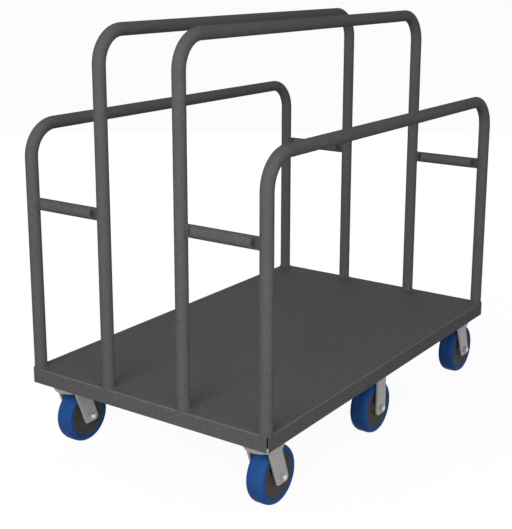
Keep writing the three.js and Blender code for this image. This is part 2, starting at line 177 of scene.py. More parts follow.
def box_of(node_name):
    """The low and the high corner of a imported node's box, as arrays."""
    return [np.array(corner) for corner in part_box(node_name)]


def centre(node_name):
    """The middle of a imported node's box."""
    low, high = box_of(node_name)
    return (low + high) / 2


def around(sides):
    """Angles spread evenly over a full turn."""
    return 2 * np.pi * np.arange(sides) / sides


def quads(rows, columns, wrap_rows=False):
    """Faces of a grid whose columns close on themselves. The point in row i and column j has the
    number i * columns + j."""
    i = np.arange(rows if wrap_rows else rows - 1)[:, None]
    j = np.arange(columns)[None, :]
    k = (i + 1) % rows
    n = (j + 1) % columns
    faces = np.stack([i * columns + j, i * columns + n, k * columns + n, k * columns + j], -1)
    return faces.reshape(-1, 4)


def placed(name, data):
    """An object made of some data and linked to the scene."""
    made = bpy.data.objects.new(name, data)
    bpy.context.scene.collection.objects.link(made)
    return made


def clean_mesh(name, part, closed=True):
    """Puts a part's points and faces into a mesh and closes its seams. A closed mesh whose volume
    comes out negative is turned inside out."""
    points, faces = part
    seam = 0.002 * MM
    mesh = bpy.data.meshes.new(name)
    mesh.from_pydata(np.asarray(points, float).reshape(-1, 3).tolist(), [], faces)
    work = bmesh.new()
    work.from_mesh(mesh)
    bmesh.ops.remove_doubles(work, verts=work.verts, dist=seam)
    bmesh.ops.dissolve_degenerate(work, edges=work.edges, dist=seam)
    if closed:
        bmesh.ops.recalc_face_normals(work, faces=work.faces)
        if work.calc_volume(signed=True) < 0:
            bmesh.ops.reverse_faces(work, faces=work.faces)
    work.to_mesh(mesh)
    work.free()
    return mesh


def final_mesh(shape, *helpers):
    """The mesh of an object as its modifiers or its curve settings leave it. The object goes, and
    so do the helpers that it needed."""
    graph = bpy.context.evaluated_depsgraph_get()
    mesh = bpy.data.meshes.new_from_object(shape.evaluated_get(graph))
    for used in (shape, *helpers):
        bpy.data.objects.remove(used)
    return mesh


def new_piece(name, part, finish, body, nodes=(), smooth=35.0, closed=True):
    """A piece made of points and faces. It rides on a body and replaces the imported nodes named."""
    return dress(name, clean_mesh(name, part, closed), finish, body, nodes, smooth)


def dress(name, mesh, finish, body, nodes=(), smooth=35.0):
    """Makes an object of a mesh, with its finish, smooth faces and sharp edges."""
    mesh.materials.clear()
    mesh.materials.append(material(finish))
    mesh.polygons.foreach_set("use_smooth", np.ones(len(mesh.polygons), bool))
    mesh.set_sharp_from_angle(angle=math.radians(smooth))
    piece = placed(name, mesh)
    weighted = piece.modifiers.new("even_shading", "WEIGHTED_NORMAL")
    weighted.keep_sharp = True
    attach(piece, body)
    if nodes:
        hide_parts(*nodes)
    return piece


def rounded(corners, radii, inset=0.0, steps=6):
    """A closed outline with round corners, moved inwards by an inset.

    Each side is moved along its inward normal, so corner i goes to corner + inset * (n1 + n2) /
    (1 + n1 . n2). A convex corner's radius shrinks by the inset and a concave one's grows by it,
    and neither falls below a least radius. The arc's centre lies on the corner's bisector, radius /
    sin(half angle) from the corner, and the arc turns from one tangent point to the other."""
    least = 0.05 * MM
    corners = np.asarray(corners, float)
    radii = np.broadcast_to(np.asarray(radii, float), len(corners)).copy()
    to_next = np.roll(corners, -1, 0) - corners
    to_next /= np.linalg.norm(to_next, axis=1, keepdims=True)
    inward = np.stack([-to_next[:, 1], to_next[:, 0]], 1)
    before = np.roll(inward, 1, 0)
    share = 1 + (inward * before).sum(1, keepdims=True)
    moved = corners + inset * (inward + before) / share
    incoming = np.roll(to_next, 1, 0)
    turn = incoming[:, 0] * to_next[:, 1] - incoming[:, 1] * to_next[:, 0]
    radii = np.maximum(radii - inset * np.sign(turn), least)
    back = -incoming
    half = np.arccos(np.clip((back * to_next).sum(1), -1, 1)) / 2
    bisector = back + to_next
    bisector /= np.maximum(np.linalg.norm(bisector, axis=1, keepdims=True), 1e-9)
    centres = moved + bisector * (radii / np.sin(half))[:, None]
    start = moved + back * (radii / np.tan(half))[:, None] - centres
    sweep = (np.pi - 2 * half) * np.sign(turn)
    angle = sweep[:, None] * np.linspace(0, 1, steps + 1)[None, :]
    x = start[:, :1] * np.cos(angle) - start[:, 1:] * np.sin(angle)
    y = start[:, :1] * np.sin(angle) + start[:, 1:] * np.cos(angle)
    return (centres[:, None, :] + np.stack([x, y], -1)).reshape(-1, 2)


def spun(radius, height, sides, place, axis="z", closed=True):
    """A skin about an axis through a place, from arrays of radii and heights.

    Point (i, j) lies at the radius and the height given for it, and at the angle 2 pi j / sides.
    About z the height is z, and about y it is y. A closed skin is a ring, and an open one runs from
    pole to pole."""
    angle = around(sides)
    across = radius * np.cos(angle)
    along = radius * np.sin(angle)
    height = np.broadcast_to(height, across.shape)
    order = (across, along, height) if axis == "z" else (across, height, along)
    points = np.stack(order, -1) + np.asarray(place, float)
    return points.reshape(-1, 3), quads(len(radius), sides, wrap_rows=closed).tolist()


def turned(profile, place, axis="z", sides=None, closed=True):
    """A profile of [radius, height] turned about an axis through a place."""
    profile = np.asarray(profile, float)
    return spun(profile[:, :1], profile[:, 1:], sides or stage().rings, place, axis, closed)


def rectangle(half_x, half_y):
    """The corners of a rectangle round the middle."""
    return [(-half_x, -half_y), (half_x, -half_y), (half_x, half_y), (-half_x, half_y)]


def stacked(rings):
    """A closed skin through rings of equal length. One flat face fills the first and the last."""
    rings = np.asarray(rings, float)
    count, size = rings.shape[:2]
    faces = quads(count, size).tolist()
    faces.append(list(range(size)))
    faces.append(list(range((count - 1) * size, count * size)))
    return rings.reshape(-1, 3), faces


def upright(outline, y, place=(0, 0, 0)):
    """An outline of x and z, set upright at one y and moved to a place."""
    points = np.stack([outline[:, 0], np.full(len(outline), y), outline[:, 1]], 1)
    return points + np.asarray(place, float)


def joined(*parts):
    """Several (points, faces) pairs as one pair."""
    points, faces, count = [], [], 0
    for part_points, part_faces in parts:
        points.append(np.asarray(part_points, float).reshape(-1, 3))
        faces += [[k + count for k in face] for face in part_faces]
        count += len(points[-1])
    return np.concatenate(points), faces


def flipped(part, ways, place):
    """A part whose coordinates are each kept or turned round, moved to a place."""
    points, faces = part
    return points * np.array(ways) + np.asarray(place), faces


def united(name, first, second, finish, body, nodes):
    """One skin round two closed parts that run into each other."""
    base, other = [placed(name, clean_mesh(name, part)) for part in (first, second)]
    union = base.modifiers.new("union", "BOOLEAN")
    union.operation = "UNION"
    union.solver = "MANIFOLD"
    union.object = other
    return dress(name, final_mesh(base, other), finish, body, nodes)


# Finishes


def new_group(name, inputs, outputs):
    """An empty shader node group with its named inputs and outputs."""
    group = bpy.data.node_groups.new(name, "ShaderNodeTree")
    for label, kind, default in inputs:
        socket = group.interface.new_socket(label, in_out="INPUT", socket_type=kind)
        socket.default_value = default
    for label, kind in outputs:
        group.interface.new_socket(label, in_out="OUTPUT", socket_type=kind)
    return group, group.nodes.new("NodeGroupInput"), group.nodes.new("NodeGroupOutput")


def set_inputs(tree, made, inputs):
    """Sets a node's inputs to values, or links them to sockets."""
    for key, value in inputs.items():
        if isinstance(value, bpy.types.NodeSocket):
            tree.links.new(value, made.inputs[key])
        else:
            made.inputs[key].default_value = value


def node(tree, kind, inputs=None, **settings):
    """A node with its settings and inputs."""
    made = tree.nodes.new(kind)
    for key, value in settings.items():
        setattr(made, key, value)
    set_inputs(tree, made, inputs or {})
    return made


def maths(tree, operation, *values):
    """The result of an operation on numbers or sockets."""
    return node(tree, "ShaderNodeMath", dict(enumerate(values)), operation=operation).outputs[0]


def mapped(tree, value, low, high, ends="To"):
    """A value between 0 and 1 stretched to run from low to high. With ends="From" a value between
    low and high is stretched to run from 0 to 1."""
    return node(tree, "ShaderNodeMapRange",
                {"Value": value, f"{ends} Min": low, f"{ends} Max": high}).outputs["Result"]


def grain_group():
    """Fine bumps and speckles of a sprayed or moulded surface.

    Height is a fine noise plus a coarser one. Speckle is that sum spread over its middle, and Cloud
    is a slow noise that changes the surface from place to place."""
    group, start, end = new_group(
        "surface_grain",
        [("Grain Size", "NodeSocketFloat", 0.001), ("Cloud Size", "NodeSocketFloat", 0.15)],
        [("Height", "NodeSocketFloat"), ("Speckle", "NodeSocketFloat"),
         ("Cloud", "NodeSocketFloat")])
    place = node(group, "ShaderNodeTexCoord").outputs["Object"]
    coarser = 3.0

    def noise(size, detail):
        scale = maths(group, "DIVIDE", 1.0, size)
        return node(group, "ShaderNodeTexNoise",
                    {"Vector": place, "Scale": scale, "Detail": detail}).outputs["Fac"]

    fine = noise(start.outputs["Grain Size"], 2.0)
    coarse = noise(maths(group, "MULTIPLY", start.outputs["Grain Size"], coarser), 1.0)
    cloud = noise(start.outputs["Cloud Size"], 3.0)
    height = maths(group, "ADD", fine, coarse)
    set_inputs(group, end, {"Height": height,
                            "Speckle": mapped(group, height, 0.7, 1.3, ends="From"),
                            "Cloud": mapped(group, cloud, 0.3, 0.7, ends="From")})


def tint_group():
    """A base colour that runs a little darker and lighter over the surface, with painted light on
    top.

    The colour is multiplied by 1 + Speckle Amount * (Speckle - 0.5) + Cloud Amount *
    (Cloud - 0.5) + the amount of painted light times the painted light, which is a painted
    highlight above 0 and painted shade below 0."""
    group, start, end = new_group(
        "surface_tint",
        [("Color", "NodeSocketColor", (0.5, 0.5, 0.5, 1.0)),
         ("Speckle", "NodeSocketFloat", 0.5), ("Speckle Amount", "NodeSocketFloat", 0.1),
         ("Cloud", "NodeSocketFloat", 0.5), ("Cloud Amount", "NodeSocketFloat", 0.1),
         ("Wear", "NodeSocketFloat", 0.0), ("Wear Amount", "NodeSocketFloat", 0.0)],
        [("Color", "NodeSocketColor")])

    def swing(mask, amount):
        from_middle = maths(group, "SUBTRACT", start.outputs[mask], 0.5)
        return maths(group, "MULTIPLY", from_middle, start.outputs[amount])

    both = maths(group, "ADD", swing("Speckle", "Speckle Amount"), swing("Cloud", "Cloud Amount"))
    with_painted_light = maths(group, "MULTIPLY_ADD", start.outputs["Wear"], start.outputs["Wear Amount"], both)
    tinted = node(group, "ShaderNodeVectorMath",
                  {0: start.outputs["Color"], "Scale": maths(group, "ADD", with_painted_light, 1.0)},
                  operation="SCALE")
    set_inputs(group, end, {"Color": tinted.outputs["Vector"]})


def surface(name, base, roughness, grain, cloud, speckle, mottle, bump, metallic=0.0, painted_light=0.0,
            **sockets):
    """A finish: a tinted base colour, a roughness that varies, and a fine bump.

    Grain and cloud are sizes in millimetres. The amount of painted light is how much lighter the
    colour is painted, a painted highlight, where a piece's own attribute of painted light is 1, and
    how much darker, painted shade, where it is -1. Further sockets of the shader are set directly."""
    half_swing = 0.05
    relief_depth = 0.2 * MM
    made = bpy.data.materials.new(name)
    made.use_nodes = True
    tree = made.node_tree
    texture = node(tree, "ShaderNodeGroup", {"Grain Size": grain * MM, "Cloud Size": cloud * MM},
                   node_tree=bpy.data.node_groups["surface_grain"])
    clouds = texture.outputs["Cloud"]
    tint = node(tree, "ShaderNodeGroup",
                {"Color": (*base, 1.0), "Speckle": texture.outputs["Speckle"],
                 "Speckle Amount": speckle, "Cloud": clouds, "Cloud Amount": mottle},
                node_tree=bpy.data.node_groups["surface_tint"])
    # Painted highlight and painted shade, read from each piece's attribute of painted light.
    if painted_light:
        mask = node(tree, "ShaderNodeAttribute", attribute_name="edge_wear").outputs["Fac"]
        set_inputs(tree, tint, {"Wear": mask, "Wear Amount": painted_light})
    relief = node(tree, "ShaderNodeBump", {"Height": texture.outputs["Height"], "Strength": bump,
                                           "Distance": relief_depth})
    set_inputs(tree, tree.nodes["Principled BSDF"], {
        "Base Color": tint.outputs["Color"],
        "Roughness": mapped(tree, clouds, roughness - half_swing, roughness + half_swing),
        "Normal": relief.outputs["Normal"],
        "Metallic": metallic,
        **{label.replace("_", " "): value for label, value in sockets.items()}})


def make_finishes():
    """Builds the node groups and every finish."""
    grain_group()
    tint_group()
    colours = finishes()
    # The coat carries painted light: a painted highlight along the deck's bends and painted shade in
    # the braces' creases.
    surface("coat", colours.coat, colours.coat_roughness, grain=2.2, cloud=260.0, speckle=0.29,
            mottle=0.05, bump=0.2, painted_light=0.7, Specular_IOR_Level=0.02)
    surface("zinc", colours.zinc, 0.45, metallic=0.15, grain=0.7, cloud=14.0, speckle=0.05,
            mottle=0.12, bump=0.08)
    surface("steel", colours.steel, 0.3, metallic=1.0, grain=0.5, cloud=6.0, speckle=0.05,
            mottle=0.1, bump=0.05)
    surface("tread", colours.tread, 0.42, grain=0.9, cloud=40.0, speckle=0.04, mottle=0.1,
            bump=0.06, Specular_IOR_Level=0.03)
    surface("core", colours.core, 0.6, grain=0.8, cloud=20.0, speckle=0.12, mottle=0.15,
            bump=0.2, Specular_IOR_Level=0.06)


def material(finish):
    return bpy.data.materials[finish]


# Deck

def folded(distance, flat, bend):
    """Where a point of the flat blank goes when its edge is folded down.

    Up to the flat part's end nothing moves. Past it the point runs round a quarter circle of the
    bend's radius, and then straight down. Returns the distance outwards and the drop."""
    past = np.abs(distance) - flat
    angle = np.clip(past / bend, 0, np.pi / 2)
    out = np.where(past > 0, flat + bend * np.sin(angle), np.abs(distance))
    drop = bend * (1 - np.cos(angle)) + np.maximum(0, past - bend * np.pi / 2)
    return np.sign(distance) * out, drop


def deck_pan():
    """The deck: a cross-shaped blank with its four flaps folded down, its corners left open.

    The blank's lines run close together over the bends. Grid faces past both bend lines are left
    out. The flaps' ends draw back over the bend to half open the corner notch, and the sheet gets
    its thickness inwards."""
    bend_lines, edge = 9, 0.5 * MM
    low, high = box_of("deck_pan")
    half = (high - low) / 2
    middle = (high + low) / 2
    bend = sizes().deck_bend
    depth = high[2] - low[2]

    def lines(reach):
        flat = reach - bend
        arc = flat + bend * np.linspace(0, np.pi / 2, bend_lines)
        end = arc[-1] + depth - bend
        beyond = np.concatenate([arc, [end]])
        return flat, np.concatenate([-beyond[::-1], beyond])

    flat_x, across_x = lines(half[0])
    flat_y, across_y = lines(half[1])
    p, q = np.meshgrid(across_x, across_y, indexing="ij")
    x, drop_x = folded(p, flat_x, bend)
    y, drop_y = folded(q, flat_y, bend)
    relief = sizes().corner_notch - bend
    x = np.where(np.abs(p) == flat_x, x - np.sign(x) * relief * np.clip(drop_y / bend, 0, 1), x)
    y = np.where(np.abs(q) == flat_y, y - np.sign(y) * relief * np.clip(drop_x / bend, 0, 1), y)
    points = np.stack([middle[0] + x, middle[1] + y, high[2] - drop_x - drop_y], -1)
    rows, columns = p.shape
    i, j = np.meshgrid(np.arange(rows - 1), np.arange(columns - 1), indexing="ij")
    faces = np.stack([i * columns + j, (i + 1) * columns + j,
                      (i + 1) * columns + j + 1, i * columns + j + 1], -1).reshape(-1, 4)
    middle_p = np.abs(across_x[:-1] + across_x[1:]) / 2
    middle_q = np.abs(across_y[:-1] + across_y[1:]) / 2
    keep = ~((middle_p[:, None] > flat_x) & (middle_q[None, :] > flat_y)).reshape(-1)
    used, faces = np.unique(faces[keep], return_inverse=True)
    faces = faces.reshape(-1, 4)
    blank = points.reshape(-1, 3)[used], faces.tolist()
    piece = new_piece("deck_sheet", blank, "coat", "cart", ["deck_pan"], smooth=60.0, closed=False)
    # The bends are painted lighter: a painted highlight along the folded edges.
    mark_painted_light(piece, bend_painted_highlight(high[2], bend))
    wall = piece.modifiers.new("sheet", "SOLIDIFY")
    wall.thickness = sizes().sheet
    wall.offset = -1.0
    wall.use_even_offset = True
    soften(piece, edge)


def mark_painted_light(piece, painted_light):
    """Gives each point of a piece its painted light, which a function works out from the points'
    places.
    Above 0 the colour is painted lighter there, a painted highlight, and below 0 darker, painted
    shade."""
    places = np.empty(3 * len(piece.data.vertices))
    piece.data.vertices.foreach_get("co", places)
    marks = piece.data.attributes.new("edge_wear", "FLOAT", "POINT")
    marks.data.foreach_set("value", painted_light(places.reshape(-1, 3)))


def bend_painted_highlight(top, bend):
    """The painted highlight along a folded edge, a lighter line where the bend catches the light. At
    a point whose drop below the top is d the bend has turned by a = arccos(1 - d / bend), and the
    painted highlight is most * sin(2 a)."""
    most = 0.5

    def painted_light(places):
        turned_by = np.arccos(1 - np.clip((top - places[:, 2]) / bend, 0, 1))
        return most * np.sin(2 * turned_by)
    return painted_light


def crease_painted_shade(middle, radius, tab, start, end):
    """Painted shade in the crease of a pressed end, where its wall turns away from the light. The
    share of the press at a point is p, from 0 where the press starts to 1 where the painted shade
    ends, and the surface there lies a share q of the way from the circle to the flat. The painted
    light there is -q sin(pi p)."""
    def painted_light(places):
        offset = np.abs(places - middle)
        press = np.clip((offset[:, 1] - start) / (end - start), 0, 1)
        circle = np.sqrt(np.maximum(radius ** 2 - offset[:, 2] ** 2, 0))
        pushed = np.clip((circle - offset[:, 0]) / (radius - tab), 0, 1)
        return -pushed * np.sin(np.pi * press)
    return painted_light


def soften(piece, width):
    """Rounds a piece's sharp edges, before its shading is evened."""
    bevel = piece.modifiers.new("soft_edges", "BEVEL")
    bevel.width = width
    bevel.segments = 2
    bevel.limit_method = "ANGLE"
    bevel.angle_limit = math.radians(50)
    bevel.harden_normals = False
    piece.modifiers.move(piece.modifiers.find("even_shading"), len(piece.modifiers) - 1)


def cross_channel(place):
    """A channel open upwards: its outline of eight rounded corners, drawn along y."""
    name = f"cross_channel_{place}"
    low, high = box_of(name)
    wall, bend = sizes().channel_wall, sizes().channel_bend
    edge, least = 0.6 * MM, 0.5 * MM
    inner = max(bend - wall, least)
    floor, in_low, in_high = low[2] + wall, low[0] + wall, high[0] - wall
    corners = [(low[0], low[2]), (high[0], low[2]), (high[0], high[2]), (in_high, high[2]),
               (in_high, floor), (in_low, floor), (in_low, high[2]), (low[0], high[2])]
    outline = rounded(corners, [bend, bend, edge, edge, inner, inner, edge, edge])
    rings = [upright(outline, y) for y in (low[1], high[1])]
    new_piece(f"{name}_rail", stacked(rings), "coat", "cart", [name])


# Tube frames and braces

def frame_path(half, foot, rail, bend, steps=18):
    """Places and directions along an inverted U: up a leg, round a bend, along the rail and down.

    Over a bend the place is the bend's centre plus its radius times (cos a, sin a), and the
    direction is (-sin a, cos a). The other half is its mirror image."""
    angle = np.linspace(0, np.pi / 2, steps + 1)
    x = np.concatenate([[half], half - bend + bend * np.cos(angle)])
    z = np.concatenate([[foot], rail - bend + bend * np.sin(angle)])
    angle = np.concatenate([[0.0], angle])
    x = np.concatenate([x, -x[::-1]])
    z = np.concatenate([z, z[::-1]])
    angle = np.concatenate([angle, np.pi - angle[::-1]])
    return x, z, angle


def tube_frame(node_name):
    """A bent tube: at each place of the path a circle square to its direction.

    Point j of a circle lies at radius * (cos b * outward + sin b * y), where outward is square to
    the path in the frame's own plane. The feet are closed by flat faces."""
    low, high = box_of(node_name)
    radius = (high[1] - low[1]) / 2
    middle = (low + high) / 2
    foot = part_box("deck_pan")[1][2]
    x, z, angle = frame_path((high[0] - low[0]) / 2 - radius, foot, high[2] - radius,
                             sizes().frame_bend)
    turn = around(TUBE_SIDES)[None, :, None]
    out = np.stack([np.cos(angle), np.zeros_like(angle), np.sin(angle)], -1)[:, None, :]
    path = np.stack([middle[0] + x, np.full_like(x, middle[1]), z], -1)[:, None, :]
    side = np.array([0.0, 1.0, 0.0])
    rings = path + radius * (np.cos(turn) * out + np.sin(turn) * side)
    new_piece(f"{node_name}_tube", stacked(rings), "coat", "cart", [node_name])


def foot_weld(node_name):
    """The beads round a frame's two feet, held within the deck's outline.

    A bead is a closed ring of cross sections: it leans on the tube, swells out as a quarter of an
    ellipse and ends below the deck's face. Its size swells by a sine along the bead, once every
    ripple, and each point is then kept inside the deck's faces."""
    low, high = box_of(node_name)
    deck_low, deck_high = box_of("deck_pan")
    radius = (high[1] - low[1]) / 2
    sides, ripple, ripple_share = 432, 2.4 * MM, 0.09
    leg, sunk, inside, margin = sizes().weld, 2.6 * MM, 0.8 * MM, 0.05 * MM
    turn = np.linspace(0, 2 * np.pi, sides, endpoint=False)
    swell = 1 + ripple_share * np.sin(turn * round(2 * np.pi * radius / ripple))
    quarter = np.linspace(0, np.pi / 2, 6)
    out = np.concatenate([leg * np.sin(quarter), [0.6 * leg, -inside, -inside]])[:, None]
    up = np.concatenate([leg * np.cos(quarter), [-sunk, -sunk, leg * 0.9]])[:, None]
    reach = radius + np.where(out > 0, out * swell, out)
    height = deck_high[2] + np.where(up > 0, up * swell, up)
    lowest, highest = deck_low[:2] + margin, deck_high[:2] - margin
    parts = []
    for x in (low[0] + radius, high[0] - radius):
        points = np.stack([x + reach * np.cos(turn), (low[1] + high[1]) / 2 + reach * np.sin(turn),
                           height], -1)
        points[..., :2] = np.clip(points[..., :2], lowest, highest)
        parts.append((points, quads(len(out), sides, wrap_rows=True).tolist()))
    new_piece(f"{node_name}_foot_weld", joined(*parts), "coat", "cart", smooth=60.0)


def brace(label):
    """A tube whose ends are pressed flat.

    Point j of a ring lies at radius * (cos b, sin b) in x and z. Its x is then held within half
    the thickness t at that place, which falls from the radius to half the tab along a half wave.
    The limit is soft, x / (1 + |x / t|^12)^(1/12), and comes in quickly as the press starts."""
    name = f"brace_{label}"
    low, high = box_of(name)
    middle = (low + high) / 2
    radius = (high[2] - low[2]) / 2
    tab = sizes().tab / 2
    reach = (high[1] - low[1]) / 2
    flat = reach - sizes().tab_length
    round_end = flat - sizes().press_length
    # The last of these is how far past the press the painted shade in the crease runs.
    power, quickness, shade_past_press = 12.0, 6, 3 * MM
    press = np.linspace(0, 1, 17)
    half = np.concatenate([[0.0], round_end + (flat - round_end) * press, [reach]])
    depth = np.concatenate([[0.0], press, [1.0]])
    along = np.concatenate([-half[:0:-1], half])[:, None]
    depth = np.concatenate([depth[:0:-1], depth])[:, None]
    limit = radius + (tab - radius) * (0.5 - 0.5 * np.cos(np.pi * depth))
    turn = around(TUBE_SIDES)
    x, z = radius * np.cos(turn), radius * np.sin(turn)
    held = x / (1 + np.abs(x / limit) ** power) ** (1 / power)
    x = x + (held - x) * np.clip(depth * quickness, 0, 1)
    rings = np.stack(np.broadcast_arrays(middle[0] + x, middle[1] + along, middle[2] + z), -1)
    piece = new_piece(f"{name}_tube", stacked(rings), "coat", "cart", [name])
    # The press walls are painted darker: painted shade where they turn away from the light.
    mark_painted_light(piece, crease_painted_shade(middle, radius, tab, round_end, flat + shade_past_press))


# Casters

def leg_skin(corners, radii, face, rim, gauge, place):
    """A pressed plate with a turned rim, between its face and its rim's edge in y.

    Rings of the same rounded outline, each with an inset and a y: flat face, quarter round edge,
    rim wall, rim's edge, the inner wall and the pocket's floor."""
    way = np.sign(face - rim)
    edge, lip, border = sizes().leg_edge, 0.6 * MM, 1.2 * MM
    draft = edge * 0.3
    angle = np.linspace(0, np.pi / 2, 6)
    outer = [(edge + border, face)]
    outer += [(edge * (1 - math.sin(a)), face - way * edge * (1 - math.cos(a))) for a in angle]
    outer += [(lip * (1 - math.cos(a)), rim + way * lip * (1 - math.sin(a))) for a in angle]
    floor = face - way * gauge
    inner = [(gauge - lip * (1 - math.sin(a)), rim + way * lip * (1 - math.cos(a))) for a in angle]
    inner += [(gauge, floor - way * draft), (gauge + draft, floor)]
    rings = [upright(rounded(corners, radii, inset), y, place) for inset, y in outer + inner]
    return stacked(rings)


def fork_legs(corners, radii, place):
    """Both legs of a fork, alike on each side of the wheel."""
    size = sizes()
    return [leg_skin(corners, radii, side * size.leg_outer, side * size.leg_inner,
                     size.leg_gauge, place) for side in (1, -1)]


def swivel_fork(label):
    """A raceway cup turned about the swivel, with two raked legs.

    A leg's front and rear edges are straight lines: x = x at the axle's height - rake * height
    above it. They run down to the leg's foot and up into the cup's floor, and the rear one turns
    upright at the neck."""
    size = sizes()
    hub = centre(f"wheel_tread_{label}")
    pin = centre(f"kingpin_{label}")
    trail = hub[0] - pin[0]
    axle_height = hub[2]
    bottom = 2 * axle_height + size.crown_over_wheel
    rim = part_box(f"swivel_fork_{label}")[1][2]
    place = (pin[0], pin[1], 0.0)
    lead_top, tail_top, lead_end, tail_end = np.array([25.0, 31.0, 26.5, 23.5]) * MM
    neck_drop, below_floor = 12.0 * MM, 0.6 * MM
    foot = axle_height - size.leg_drop
    neck = bottom - neck_drop
    top = bottom + size.crown_gauge - below_floor
    lead_rake = (trail - lead_end + lead_top) / (bottom - axle_height)
    tail_rake = (trail + tail_end - tail_top) / (neck - axle_height)
    tip = trail - lead_end + size.leg_drop * lead_rake
    tail = trail + tail_end + size.leg_drop * tail_rake
    corners = [(tip, foot), (tail, foot), (tail_top, neck), (tail_top, top),
               (-lead_top - (top - bottom) * lead_rake, top)]
    radii = np.array([5.0, 11.0, 24.0, 1.0, 1.0]) * MM
    legs = joined(*fork_legs(corners, radii, place))
    bore, seat_radius = 8.6 * MM, 18.0 * MM
    seat = bottom + 6.8 * MM
    gauge = size.crown_gauge
    inner = size.crown_radius
    wide = inner + size.crown_flare
    shoulder = bottom + size.crown_rise
    profile = rounded(
        [(bore, seat), (seat_radius, seat), (seat_radius + gauge / 2, bottom), (inner, bottom),
         (wide, shoulder), (wide, rim), (wide - gauge, rim), (wide - gauge, shoulder),
         (inner - gauge, bottom + gauge), (seat_radius + gauge, bottom + gauge),
         (seat_radius + gauge / 2, seat + gauge), (bore, seat + gauge)],
        np.array([0.8, 1.5, 1.5, 7.0, 12.0, 1.2, 1.2, 9.0, 2.5, 1.0, 1.0, 0.8]) * MM, steps=5)
    united(f"fork_{label}", turned(profile, place), legs, "zinc", f"swivel_{label}",
           [f"swivel_fork_{label}"])


def kingpin(label):
    """The kingpin: a head in the plate, a shank and a foot peened over below the cup."""
    name = f"kingpin_{label}"
    low, high = box_of(name)
    middle = (low + high) / 2
    head, shank, foot = 14.0 * MM, 8.0 * MM, 12.8 * MM
    head_depth, foot_depth = 4 * MM, 6.5 * MM
    foot_top = low[2] + foot_depth
    head_bottom = high[2] - head_depth
    profile = rounded(
        [(0.0, low[2]), (foot, low[2]), (foot, foot_top), (shank, foot_top),
         (shank, head_bottom), (head, head_bottom), (head, high[2]), (0.0, high[2])],
        np.array([0.1, 3.0, 0.8, 0.5, 0.5, 0.5, 0.8, 0.1]) * MM, steps=4)
    profile[:, 0] = np.maximum(profile[:, 0], 0.0)
    pin = turned(profile, (middle[0], middle[1], 0.0), sides=40)
    new_piece(f"{name}_pin", pin, "steel", "cart", [name])


def slot_places():
    """Centres of a caster plate's slots, from the plate's middle."""
    across, along = 85.7, 73.0
    return [(sx * across / 2 * MM, sy * along / 2 * MM) for sx in (-1, 1) for sy in (-1, 1)]


def slotted_plate(name, top, bottom, place):
    """A plate with round corners and four slots, filled as one flat outline with holes.

    A slot is a rectangle with fully round ends, turned by an eighth of a turn to point at the
    plate's middle. The curve's bevel widens the plate by its edge all round, so the rim is drawn
    smaller and the slots larger by as much."""
    half_x, half_y = 57.15 * MM, 50.8 * MM
    slot_radius, slot_straight = 5.5 * MM + PLATE_EDGE, 4.0 * MM
    round_share, seam = 0.999, 0.01 * MM
    rim = rounded(rectangle(half_x, half_y), sizes().plate_corner)
    slot = rounded(rectangle(slot_straight + slot_radius, slot_radius), slot_radius * round_share)
    outlines = [rim * (1 - PLATE_EDGE / half_x)]
    for x, y in slot_places():
        turn = math.copysign(math.pi / 4, x * y)
        spin = np.array([[math.cos(turn), -math.sin(turn)], [math.sin(turn), math.cos(turn)]])
        outlines.append(slot @ spin.T + np.array([x, y]))
    curve = bpy.data.curves.new(name, "CURVE")
    curve.dimensions = "2D"
    curve.fill_mode = "BOTH"
    curve.extrude = (top - bottom) / 2 - PLATE_EDGE
    curve.bevel_depth = PLATE_EDGE
    curve.bevel_resolution = 2
    for outline in outlines:
        spline = curve.splines.new("POLY")
        spline.points.add(len(outline) - 1)
        ones = np.ones((len(outline), 1))
        spline.points.foreach_set("co", np.concatenate([outline, 0 * ones, ones], 1).reshape(-1))
        spline.use_cyclic_u = True
    mesh = final_mesh(placed(name, curve))
    mesh.transform(Matrix.Translation((place[0], place[1], (top + bottom) / 2)))
    work = bmesh.new()
    work.from_mesh(mesh)
    bmesh.ops.remove_doubles(work, verts=work.verts, dist=seam)
    bmesh.ops.recalc_face_normals(work, faces=work.faces)
    work.verts.index_update()
    points = np.array([vertex.co for vertex in work.verts])
    faces = [[vertex.index for vertex in face.verts] for face in work.faces]
    work.free()
    return points, faces


def hex_ring(apothem, bore, low, high, place, axis="z"):
    """A hexagonal nut: its outline's radius is apothem / cos(angle within a sixth of a turn), and
    its corners are cut back by a cone of 30 degrees at both ends, down to a round face."""
    sides, face_share = 48, 0.97
    sixth = np.pi / 3
    reach = apothem / np.cos(np.mod(around(sides) + sixth / 2, sixth) - sixth / 2)
    ones = np.ones(sides)
    face, hole = apothem * face_share * ones, bore * ones
    cut = (reach - face) * math.tan(math.radians(30))
    radius = np.stack([hole, face, reach, reach, face, hole])
    height = np.stack([high * ones, high * ones, high - cut, low + cut, low * ones, low * ones])
    return spun(radius, height, sides, place, axis)


def bolt_end(radius, reach, axis="z"):
    """The end of a threaded bolt, from the origin along an axis: ridges along its side and a domed
    tip. The radius swings by a triangle wave of one pitch, and the tip's last part is a shallow
    cone."""
    pitch = radius / 4.5
    ridge, cone_radius = pitch * 0.45, radius * 0.7
    cone_foot, cone_tip = reach + pitch * 0.4, reach + pitch * 0.6
    count = max(2, round(reach / pitch))
    steps = np.arange(2 * count + 1)
    height = np.concatenate([[0.0], reach * steps / (2 * count), [cone_foot, cone_tip]])
    rib = np.concatenate([[0.0], radius - (steps % 2) * ridge, [cone_radius, 0.0]])
    return turned(np.stack([rib, height], 1), (0, 0, 0), axis, sides=32, closed=False)


def washer(outer, bore, low, high, place):
    """A flat ring with eased edges."""
    ease = (high - low) * 0.25
    profile = rounded([(bore, low), (outer, low), (outer, high), (bore, high)], ease, steps=3)
    return turned(profile, place, sides=40)


